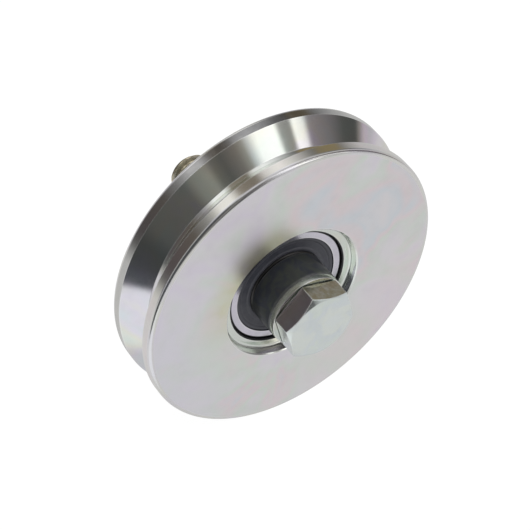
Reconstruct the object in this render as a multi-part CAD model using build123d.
from build123d import *
import math
import os

# V-groove gate wheel on a sealed ball bearing, with its axle bolt.
#
# Millimetres. The wheel's axis runs along Y. The origin is on that axis, in
# the mid-plane of the V groove. -Y is the front (bolt head), +Y the rear
# (threaded end), +Z is up.

# ---------------------------------------------------------------------------
# Dimensions shared by several pieces
# ---------------------------------------------------------------------------

# Bearing, 17 x 40 x 12, sealed both sides
bearing_bore_r = 8.5
bearing_outer_r = 20.0
bearing_width = 12.0
bearing_front_y = -6.75
bearing_rear_y = bearing_front_y + bearing_width
bearing_mid_y = (bearing_front_y + bearing_rear_y) / 2
ball_r = 6.747 / 2
ball_count = 8
ball_step = 360 / ball_count  # degrees
pitch_r = 14.25
inner_land_r = 12.2
outer_land_r = 16.4

# Seal housing in the outer ring; depths are from the ring face
seal_mouth_r = 17.25      # mouth that the seal fills
seal_groove_r = 17.70     # undercut that holds the seal's bead
bead_start = 0.70
bead_end = 1.40
ledge_depth = 1.75        # ledge that the seal stops on
ledge_out = 0.55          # ledge width outside the land

# Axle stack, M14 x 70, from the underside of the bolt head to the nut
head_seat_y = -19.2
washer_t = 2.0
spring_washer_t = 3.0
head_washer_rear_y = head_seat_y + washer_t
rear_stack_y = -head_washer_rear_y  # the two spacers end equally far out
spring_washer_y = rear_stack_y + washer_t
nut_seat_y = spring_washer_y + spring_washer_t
hex_across_flats = 21.7   # 22 nominal

os.makedirs("parts", exist_ok=True)


# ---------------------------------------------------------------------------
# Helpers. A profile is a list of (radius, y) points, turned about the Y axis.
# ---------------------------------------------------------------------------

def turned(points):
    """Solid of revolution from a closed profile of straight edges."""
    wire = Polyline([Vector(r, y, 0) for r, y in points], close=True)
    return revolve(make_face(wire), axis=Axis.Y, revolution_arc=360)


def turned_curved(items):
    """The same with arcs: an item ("via", point) bends the span it stands in."""
    points, bends = [], {}
    for item in items:
        if item[0] == "via":
            bends[len(points) - 1] = Vector(*item[1], 0)
        else:
            points.append(Vector(*item, 0))
    edges = []
    for i, start in enumerate(points):
        end = points[(i + 1) % len(points)]
        if i in bends:
            edges.append(Edge.make_three_point_arc(start, bends[i], end))
        else:
            edges.append(Edge.make_line(start, end))
    return revolve(make_face(Wire(edges)), axis=Axis.Y, revolution_arc=360)


def corner(centre_r, centre_y, radius, angle_0, angle_1):
    """Profile items of an arc; angles run from +radius towards +Y."""
    start, middle, end = [
        (centre_r + radius * math.cos(math.radians(angle)),
         centre_y + radius * math.sin(math.radians(angle)))
        for angle in (angle_0, (angle_0 + angle_1) / 2, angle_1)]
    return [start, ("via", middle), end]


def from_face(face_y, direction, points):
    """Profile from (radius, distance) points, measured from a face along Y."""
    return [(r, face_y + direction * distance) for r, distance in points]


def cylinder_along_y(x, z, radius, y0, y1):
    return Pos(x, (y0 + y1) / 2, z) * Rot(90, 0, 0) * Cylinder(radius, y1 - y0)


def one(shape):
    """The shape's only solid."""
    solids = shape.solids()
    assert len(solids) == 1, len(solids)
    return solids[0]


def save(name, shape):
    shape.label = name
    export_step(shape, f"parts/{name}.step")


# ---------------------------------------------------------------------------
# Sheave: flat lands, rounded corners, 90 degree V, recessed hub both sides,
# bearing seat open to the front and closed by a shoulder at the rear.
# ---------------------------------------------------------------------------

wheel_r = 50.0            # over the two flat lands
wheel_half_w = 21.6 / 2
wheel_round = 1.4         # radius on each outer corner
groove_half_w = 13.5 / 2  # at the mouth of the V
root_half_w = 1.25 / 2    # half the flat at the bottom of the V
recess_r = 23.05          # hub recess, just inside its edge chamfer
recess_wall_r = 22.75     # the same, at the foot of its slightly tapered wall
recess_depth = 3.20       # wheel face to recess floor
recess_chamfer = 0.35     # at the wheel face
recess_fillet = 1.00      # between wall and floor
seat_chamfer = 0.35       # at the front end of the bearing seat
shoulder_r = 17.6         # hole through the shoulder behind the bearing
shoulder_chamfer = 0.5
seat_end_band = 0.6       # outer band of the seat's flat end


def wheel_sheave():
    root_r = wheel_r - (groove_half_w - root_half_w)
    front_floor_y = -wheel_half_w + recess_depth
    rear_floor_y = wheel_half_w - recess_depth
    round_r = wheel_r - wheel_round
    fillet_r = recess_wall_r - recess_fillet
    return turned_curved([
        (recess_r + recess_chamfer, -wheel_half_w),
        *corner(round_r, -wheel_half_w + wheel_round, wheel_round, -90, 0),
        (wheel_r, -groove_half_w),
        (root_r, -root_half_w),
        (root_r, root_half_w),
        (wheel_r, groove_half_w),
        *corner(round_r, wheel_half_w - wheel_round, wheel_round, 0, 90),
        (recess_r + recess_chamfer, wheel_half_w),
        (recess_r, wheel_half_w - recess_chamfer),
        *corner(fillet_r, rear_floor_y + recess_fillet, recess_fillet, 0, -90),
        (shoulder_r + shoulder_chamfer, rear_floor_y),
        (shoulder_r, rear_floor_y - shoulder_chamfer),
        (shoulder_r, bearing_rear_y),
        (bearing_outer_r - seat_end_band, bearing_rear_y),
        (bearing_outer_r, bearing_rear_y),
        (bearing_outer_r, front_floor_y + seat_chamfer),
        (bearing_outer_r + seat_chamfer, front_floor_y),
        *corner(fillet_r, front_floor_y - recess_fillet, recess_fillet, 90, 0),
        (recess_r, -wheel_half_w + recess_chamfer),
    ])


save("wheel_sheave", one(wheel_sheave()))

# ---------------------------------------------------------------------------
# Bearing rings. Each race is an arc whose crown stands race_play off the ball.
# ---------------------------------------------------------------------------

race_r = 0.52 * 2 * ball_r    # 0.52 of the ball diameter
race_play = 0.010
outer_corner = 0.6            # rounding of the outer ring's outer edges
bore_corner = 0.5             # rounding of the inner ring's bore edges
inner_land_chamfer = 0.35
bead_ramp = 0.15              # slope of the undercut's outer side


def outer_ring():
    race_centre_r = pitch_r + ball_r + race_play - race_r
    race_half_w = math.sqrt(race_r ** 2 - (outer_land_r - race_centre_r) ** 2)
    corner_r = bearing_outer_r - outer_corner
    # Seal housing from the ring face inwards, as (radius, depth)
    housing = [
        (seal_mouth_r, 0),
        (seal_mouth_r, bead_start),
        (seal_groove_r, bead_start + bead_ramp),
        (seal_groove_r, bead_end),
        (outer_land_r + ledge_out, ledge_depth),
        (outer_land_r, ledge_depth),
    ]
    front_housing = from_face(bearing_front_y, 1, housing)
    rear_housing = from_face(bearing_rear_y, -1, housing)
    return turned_curved([
        front_housing[0],
        *corner(corner_r, bearing_front_y + outer_corner, outer_corner, -90, 0),
        *corner(corner_r, bearing_rear_y - outer_corner, outer_corner, 0, 90),
        *rear_housing,
        (outer_land_r, bearing_mid_y + race_half_w),
        ("via", (race_centre_r + race_r, bearing_mid_y)),
        (outer_land_r, bearing_mid_y - race_half_w),
        *front_housing[:0:-1],
    ])


def inner_ring():
    race_centre_r = pitch_r - ball_r - race_play + race_r
    race_half_w = math.sqrt(race_r ** 2 - (race_centre_r - inner_land_r) ** 2)
    corner_r = bearing_bore_r + bore_corner
    return turned_curved([
        *corner(corner_r, bearing_front_y + bore_corner, bore_corner, 180, 270),
        (inner_land_r - inner_land_chamfer, bearing_front_y),
        (inner_land_r, bearing_front_y + inner_land_chamfer),
        (inner_land_r, bearing_mid_y - race_half_w),
        ("via", (race_centre_r - race_r, bearing_mid_y)),
        (inner_land_r, bearing_mid_y + race_half_w),
        (inner_land_r, bearing_rear_y - inner_land_chamfer),
        (inner_land_r - inner_land_chamfer, bearing_rear_y),
        *corner(corner_r, bearing_rear_y - bore_corner, bore_corner, 90, 180),
    ])


save("bearing_outer_ring", one(outer_ring()))
save("bearing_inner_ring", one(inner_ring()))


# ---------------------------------------------------------------------------
# Balls, the first straight up, the rest evenly round the pitch circle.
# ---------------------------------------------------------------------------

def on_pitch_circle(degrees):
    """(x, z) on the pitch circle, the angle running from +X towards +Z."""
    angle = math.radians(degrees)
    return pitch_r * math.cos(angle), pitch_r * math.sin(angle)


for k in range(ball_count):
    x, z = on_pitch_circle(90 - ball_step * k)
    save(f"ball_{k + 1}", one(Pos(x, bearing_mid_y, z) * Sphere(ball_r)))

# ---------------------------------------------------------------------------
# Cage: each half is a flat ribbon between the balls and a dished cup over
# each ball; the two halves meet on the mid-plane and are riveted there.
# ---------------------------------------------------------------------------

cage_in_r = 13.20
cage_out_r = 15.30
cage_sheet = 0.50
cup_in_r = ball_r + 0.10      # play between ball and cup
cup_out_r = cup_in_r + cage_sheet
cup_reach = 6.0               # along Y, beyond the top of the cup
wedge_height = 40.0           # well outside the cage
rivet_r = 0.50
rivet_hole_play = 0.01
rivet_hole_reach = 2.0        # each way from the mid-plane
rivet_head_r = 0.90
rivet_head_h = 0.40
rivet_overlap = 0.02          # shank runs this far into each head
rivet_places = [on_pitch_circle(90 - ball_step * (k + 0.5)) for k in range(ball_count)]


def cage_sector(y0, y1):
    """Part ring, one ball pitch wide, centred on straight up."""
    length = y1 - y0
    from_base = (Align.CENTER, Align.CENTER, Align.MIN)
    ring = Pos(0, y0, 0) * Rot(-90, 0, 0) * (
        Cylinder(cage_out_r, length, align=from_base)
        - Cylinder(cage_in_r, length, align=from_base))
    half_w = math.tan(math.radians(ball_step / 2)) * wedge_height
    outline = [Vector(0, y0, 0), Vector(half_w, y0, wedge_height),
               Vector(-half_w, y0, wedge_height)]
    wedge = extrude(make_face(Polyline(outline, close=True)), amount=length, dir=(0, 1, 0))
    return ring & wedge


def cage_half(direction):
    """direction = -1 for the front half, +1 for the rear one."""
    def sector(thickness):
        return cage_sector(*sorted((bearing_mid_y, bearing_mid_y + direction * thickness)))

    top_ball = Pos(0, bearing_mid_y, pitch_r)
    cell = sector(cage_sheet) + ((top_ball * Sphere(cup_out_r)) & sector(cup_reach))
    cell = one(cell - top_ball * Sphere(cup_in_r))
    body = cell
    for k in range(1, ball_count):
        body = body + Rot(0, ball_step * k, 0) * cell
    for x, z in rivet_places:
        body = body - cylinder_along_y(x, z, rivet_r + rivet_hole_play,
                                       bearing_mid_y - rivet_hole_reach,
                                       bearing_mid_y + rivet_hole_reach)
    return body


def rivet(x, z):
    front_y = bearing_mid_y - cage_sheet
    rear_y = bearing_mid_y + cage_sheet
    body = cylinder_along_y(x, z, rivet_r, front_y - rivet_overlap, rear_y + rivet_overlap)
    body = body + cylinder_along_y(x, z, rivet_head_r, front_y - rivet_head_h, front_y)
    body = body + cylinder_along_y(x, z, rivet_head_r, rear_y, rear_y + rivet_head_h)
    return one(body)


save("cage_front_half", one(cage_half(-1)))
save("cage_rear_half", one(cage_half(1)))
save("cage_rivets", Compound(children=[rivet(x, z) for x, z in rivet_places]))

# ---------------------------------------------------------------------------
# Seals: a rubber ring with a bead in the outer ring's groove, a shallow dish
# on its face and a lip that runs on the inner ring, moulded round a thin
# steel disc that shows only on the inside.
# Depths are from the bearing face, inwards.
# ---------------------------------------------------------------------------

lip_r = inner_land_r + 0.05       # running gap to the inner ring
lip_face_depth = 0.42
dish_depth = 0.66
rim_depth = 0.35                  # outer rim of the seal's face
rim_r = seal_mouth_r - 0.02       # just clear of the mouth
bead_r = seal_groove_r - 0.03     # just clear of the undercut
seal_back_depth = ledge_depth - 0.03
insert_in_r = inner_land_r + 1.4
insert_out_r = seal_mouth_r - 0.8
insert_front_depth = seal_back_depth - 0.35   # less the disc's thickness

# Both as (radius, depth)
insert_profile = [
    (insert_out_r, seal_back_depth),
    (insert_out_r, insert_front_depth),
    (insert_in_r, insert_front_depth),
    (insert_in_r, seal_back_depth),
]
rubber_profile = [
    (lip_r, 0.62),
    (lip_r + 0.35, lip_face_depth),
    (lip_r + 0.95, lip_face_depth),
    (lip_r + 1.35, dish_depth),
    (seal_mouth_r - 1.5, dish_depth),
    (seal_mouth_r - 1.0, rim_depth),
    (seal_mouth_r - 0.25, rim_depth),
    (rim_r, 0.55),
    (rim_r, bead_start + 0.02),
    (bead_r, bead_start + 0.18),
    (bead_r, bead_end - 0.04),
    (outer_land_r + ledge_out - 0.04, seal_back_depth),
    *insert_profile,
    (lip_r + 0.75, seal_back_depth),
    (lip_r, 1.30),
]

for side, face_y, inward in (("front", bearing_front_y, 1), ("rear", bearing_rear_y, -1)):
    save(f"{side}_seal", one(turned(from_face(face_y, inward, rubber_profile))))
    save(f"{side}_seal_insert", one(turned(from_face(face_y, inward, insert_profile))))

# ---------------------------------------------------------------------------
# Spacer bushes: a nose in the bearing bore, a boss against the inner ring
# that keeps the flange clear of the seal, and a plain barrel to the washer.
# ---------------------------------------------------------------------------

spacer_r = 12.5
spacer_bore_r = 7.10
nose_r = 8.48
nose_length = bearing_width / 2 - 0.2   # stops short of the mid-plane
nose_chamfer = 0.4
boss_r = 11.1
boss_h = 0.5
flange_chamfer = 0.3      # barrel edge beside the boss
end_chamfer = 0.5         # barrel edge at the washer
spacer_bore_chamfer = 0.6


def spacer(ring_y, end_y, outward):
    """From the bearing face at ring_y out to the washer at end_y."""
    length = abs(end_y - ring_y)
    return turned(from_face(ring_y, outward, [
        (spacer_bore_r, -nose_length),
        (nose_r - nose_chamfer, -nose_length),
        (nose_r, -nose_length + nose_chamfer),
        (nose_r, 0),
        (boss_r, 0),
        (boss_r, boss_h),
        (spacer_r - flange_chamfer, boss_h),
        (spacer_r, boss_h + flange_chamfer),
        (spacer_r, length - end_chamfer),
        (spacer_r - end_chamfer, length),
        (spacer_bore_r + spacer_bore_chamfer, length),
        (spacer_bore_r, length - spacer_bore_chamfer),
    ]))


save("front_spacer", one(spacer(bearing_front_y, head_washer_rear_y, -1)))
save("rear_spacer", one(spacer(bearing_rear_y, rear_stack_y, 1)))


# ---------------------------------------------------------------------------
# Washers
# ---------------------------------------------------------------------------

def chamfered_ring(y0, y1, bore_r, bore_chamfer, outer_r, outer_chamfer):
    return turned([
        (bore_r + bore_chamfer, y0),
        (outer_r - outer_chamfer, y0),
        (outer_r, y0 + outer_chamfer),
        (outer_r, y1 - outer_chamfer),
        (outer_r - outer_chamfer, y1),
        (bore_r + bore_chamfer, y1),
        (bore_r, y1 - bore_chamfer),
        (bore_r, y0 + bore_chamfer),
    ])


def flat_washer(y0):
    return chamfered_ring(y0, y0 + washer_t, bore_r=7.5, bore_chamfer=0.2,
                          outer_r=12.4, outer_chamfer=0.35)


# Split lock washer, pressed flat: a rectangular-section ring with a slanted
# cut at the top.
cut_width = 0.9
cut_slant = -28           # degrees about Z
cut_centre_z = 9.5


def spring_washer():
    ring = chamfered_ring(spring_washer_y, nut_seat_y, bore_r=7.15, bore_chamfer=0.25,
                          outer_r=11.9, outer_chamfer=0.25)
    cut_place = Pos(0, (spring_washer_y + nut_seat_y) / 2, cut_centre_z)
    # 12 along the cut and 8 in Z clear the section all round
    return ring - cut_place * Rot(0, 0, cut_slant) * Box(cut_width, 12, 8)


save("head_washer", one(flat_washer(head_seat_y)))
save("rear_washer", one(flat_washer(rear_stack_y)))
save("spring_washer", one(spring_washer()))


# ---------------------------------------------------------------------------
# Hexagons for the nut and the bolt head
# ---------------------------------------------------------------------------

hex_corner_r = hex_across_flats / 2 / math.cos(math.pi / 6)


def hexagon(y0, y1, corner_angle):
    """corner_angle places one corner, in degrees from +X towards +Z."""
    angles = [math.radians(corner_angle + 60 * k) for k in range(6)]
    points = [Vector(hex_corner_r * math.cos(a), y0, hex_corner_r * math.sin(a))
              for a in angles]
    return extrude(make_face(Polyline(points, close=True)), amount=y1 - y0, dir=(0, 1, 0))


def hex_envelope(y0, y1, face_ratio, both_ends):
    """Turned body whose 30 degree chamfers trim a hexagon's corners.

    The front end is always chamfered. face_ratio is the end face's diameter
    over the hexagon's width across flats.
    """
    outer_r = hex_corner_r + 1.0
    face_r = face_ratio * hex_across_flats / 2
    drop = (outer_r - face_r) * math.tan(math.radians(30))
    rear_end = [(outer_r, y1 - drop), (face_r, y1)] if both_ends else [(outer_r, y1)]
    return turned([(0, y0), (face_r, y0), (outer_r, y0 + drop), *rear_end, (0, y1)])


# ---------------------------------------------------------------------------
# Hex nut, chamfered both ends, its bore countersunk
# ---------------------------------------------------------------------------

nut_end_y = nut_seat_y + 11.0
nut_bore_r = 7.02
nut_angle = 12.0
countersink = 0.6
bore_overrun = 1.0        # cutter continues its cone this far past each face


def hex_nut():
    wide_r = nut_bore_r + countersink + bore_overrun
    body = (hexagon(nut_seat_y, nut_end_y, nut_angle)
            & hex_envelope(nut_seat_y, nut_end_y, face_ratio=0.95, both_ends=True))
    return body - turned([
        (0, nut_seat_y - bore_overrun),
        (wide_r, nut_seat_y - bore_overrun),
        (nut_bore_r + countersink, nut_seat_y),
        (nut_bore_r, nut_seat_y + countersink),
        (nut_bore_r, nut_end_y - countersink),
        (nut_bore_r + countersink, nut_end_y),
        (wide_r, nut_end_y + bore_overrun),
        (0, nut_end_y + bore_overrun),
    ])


save("hex_nut", one(hex_nut()))

# ---------------------------------------------------------------------------
# Hex-head bolt: chamfered head with a washer face, plain shank, then a
# right-hand helical thread and a chamfered point.
# ---------------------------------------------------------------------------

bolt_r = 7.0
bolt_tip_y = head_seat_y + 70.0
point_chamfer = 1.2
head_height = 7.2
head_angle = 43.0
washer_face_h = 0.4
washer_face_r = 0.94 * hex_across_flats / 2
thread_pitch = 2.0
thread_length = 34.0
thread_start_y = bolt_tip_y - thread_length
thread_minor_r = 5.773
thread_root_w = thread_pitch / 8
thread_mouth_w = thread_pitch * 0.80
thread_over = 0.3         # groove section reaches this far outside the shank


def bolt_head():
    front_y = head_seat_y - head_height
    rear_y = head_seat_y - washer_face_h
    face_front_y = rear_y - 0.2   # sunk into the hexagon to join it
    head = (hexagon(front_y, rear_y, head_angle)
            & hex_envelope(front_y, rear_y, face_ratio=0.977, both_ends=False))
    return head + turned([(0, face_front_y), (washer_face_r, face_front_y),
                          (washer_face_r, head_seat_y), (0, head_seat_y)])


def bolt_shank():
    start_y = head_seat_y - 1     # sunk into the head
    return turned([
        (0, start_y),
        (bolt_r, start_y),
        (bolt_r, bolt_tip_y - point_chamfer),
        (bolt_r - point_chamfer, bolt_tip_y),
        (0, bolt_tip_y),
    ])


def thread_groove():
    """Narrow root and straight flanks, leaving a flat crest on the shank.

    Laid out along Z, then turned to run along Y. It runs out past the point.
    """
    flank_slope = (thread_mouth_w - thread_root_w) / 2 / (bolt_r - thread_minor_r)
    # Outside the shank the groove widens at 0.3 of the flank slope
    top_half_w = thread_mouth_w / 2 + flank_slope * 0.3 * thread_over
    path = Helix(pitch=thread_pitch, height=thread_length + thread_pitch,
                 radius=thread_minor_r, center=(0, 0, thread_start_y))
    section = [
        (thread_minor_r, -thread_root_w / 2),
        (thread_minor_r, thread_root_w / 2),
        (bolt_r + thread_over, top_half_w),
        (bolt_r + thread_over, -top_half_w),
    ]
    outline = Polyline([Vector(r, 0, thread_start_y + z) for r, z in section], close=True)
    return Rot(-90, 0, 0) * sweep(make_face(outline), path=path, is_frenet=True)


save("hex_bolt", one((bolt_shank() - thread_groove()) + bolt_head()))
